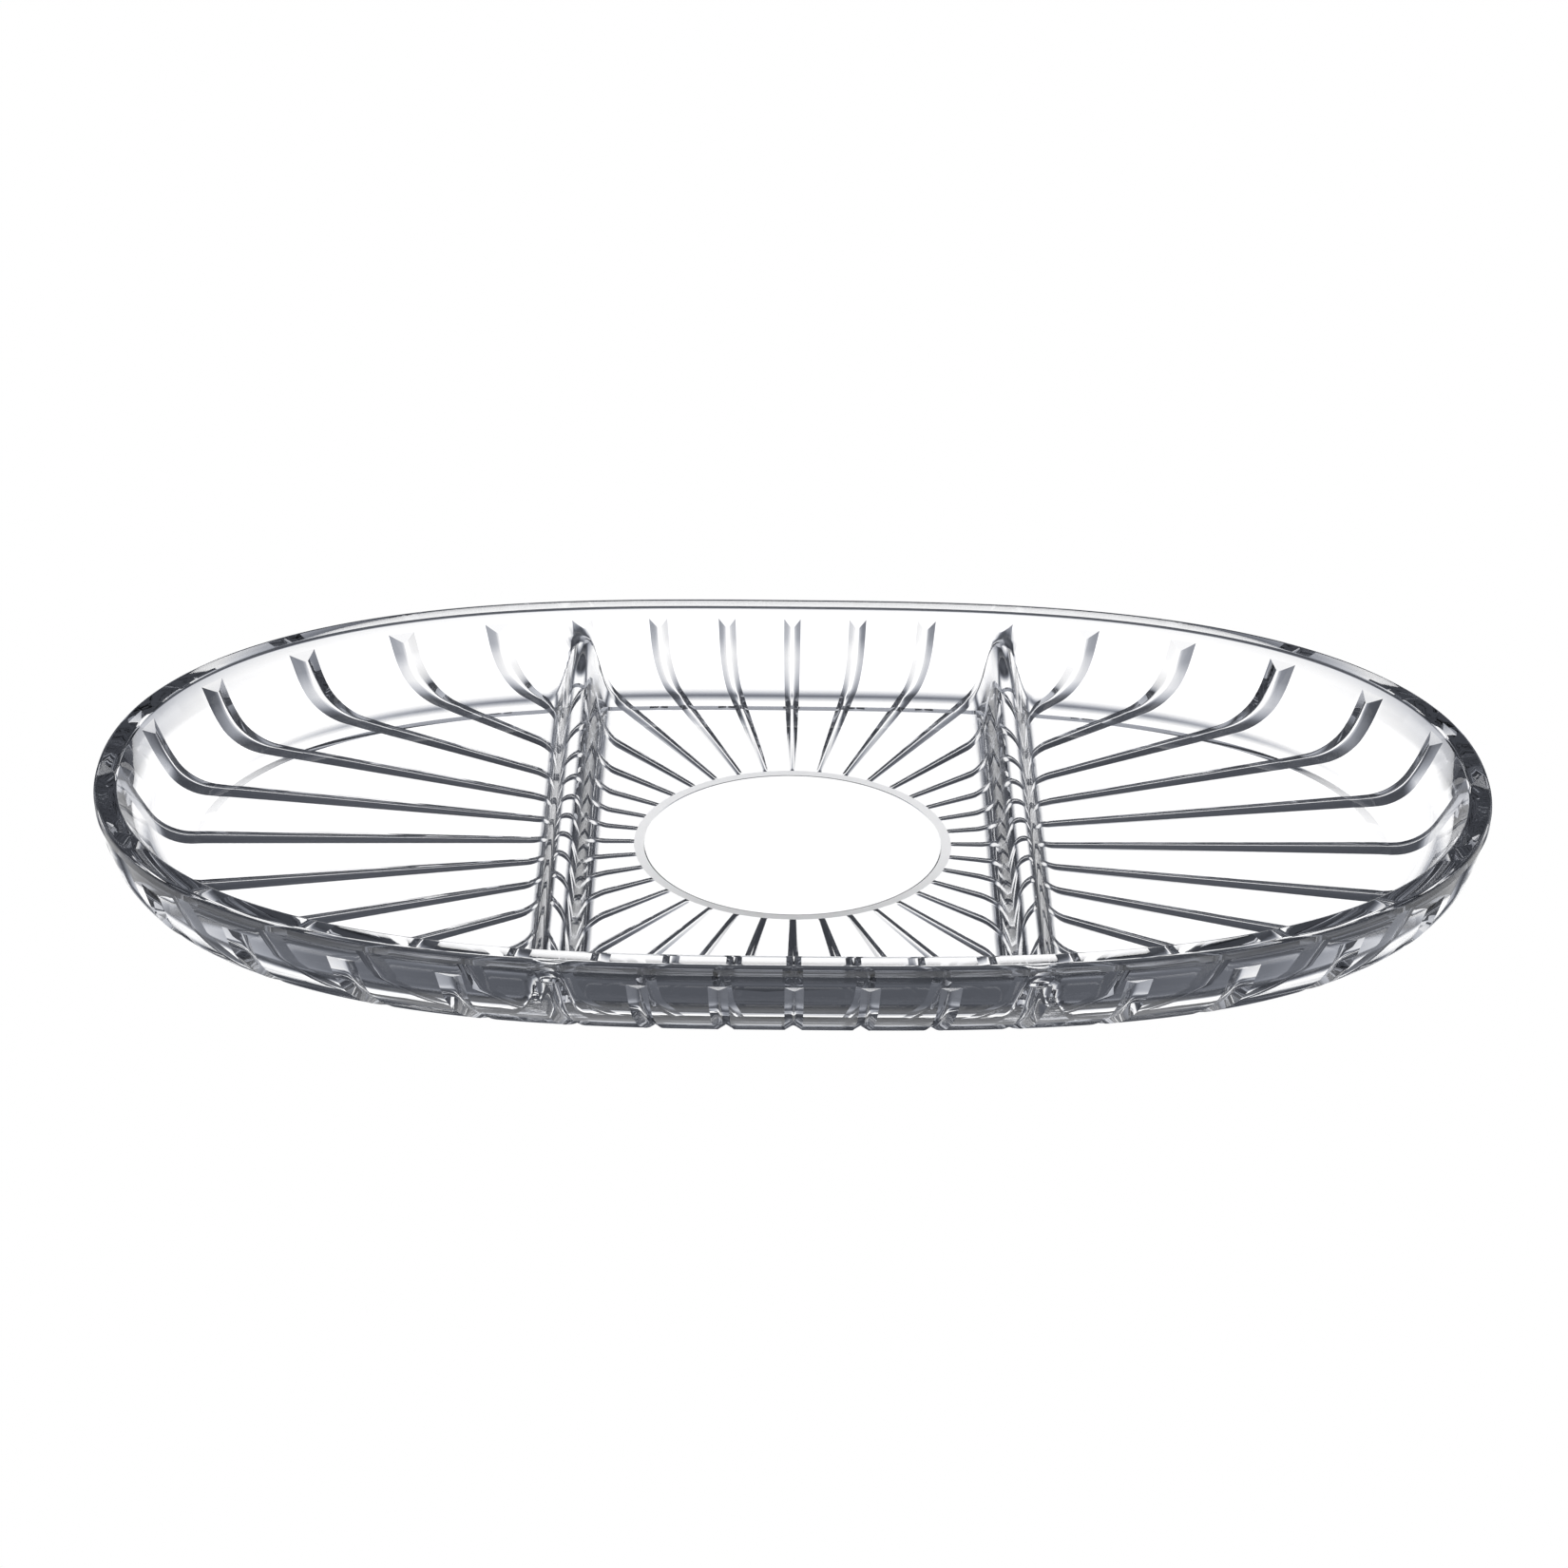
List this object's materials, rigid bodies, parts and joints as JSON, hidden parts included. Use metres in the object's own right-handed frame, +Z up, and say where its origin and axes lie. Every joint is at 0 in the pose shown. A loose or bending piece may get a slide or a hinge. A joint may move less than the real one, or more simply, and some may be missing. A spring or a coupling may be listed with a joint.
{
  "type": "serving platter",
  "caption": "Oval serving platter in clear pressed glass, with a flared wall, a heavy rim, low dividers between compartments and a fluted underside.",
  "frame": {"origin": "middle of the foot ring, on the surface that the platter stands on", "axes": "+X along the length, across the dividers; +Y along the dividers, away from the picture's viewer; +Z up"},
  "size_m": [0.35, 0.204, 0.0267],
  "materials": {
    "clear_glass": "clear, fire-polished, faint grey edge"
  },
  "bodies": {
    "root": {"glass_platter": "clear_glass"}
  },
  "joints": []
}
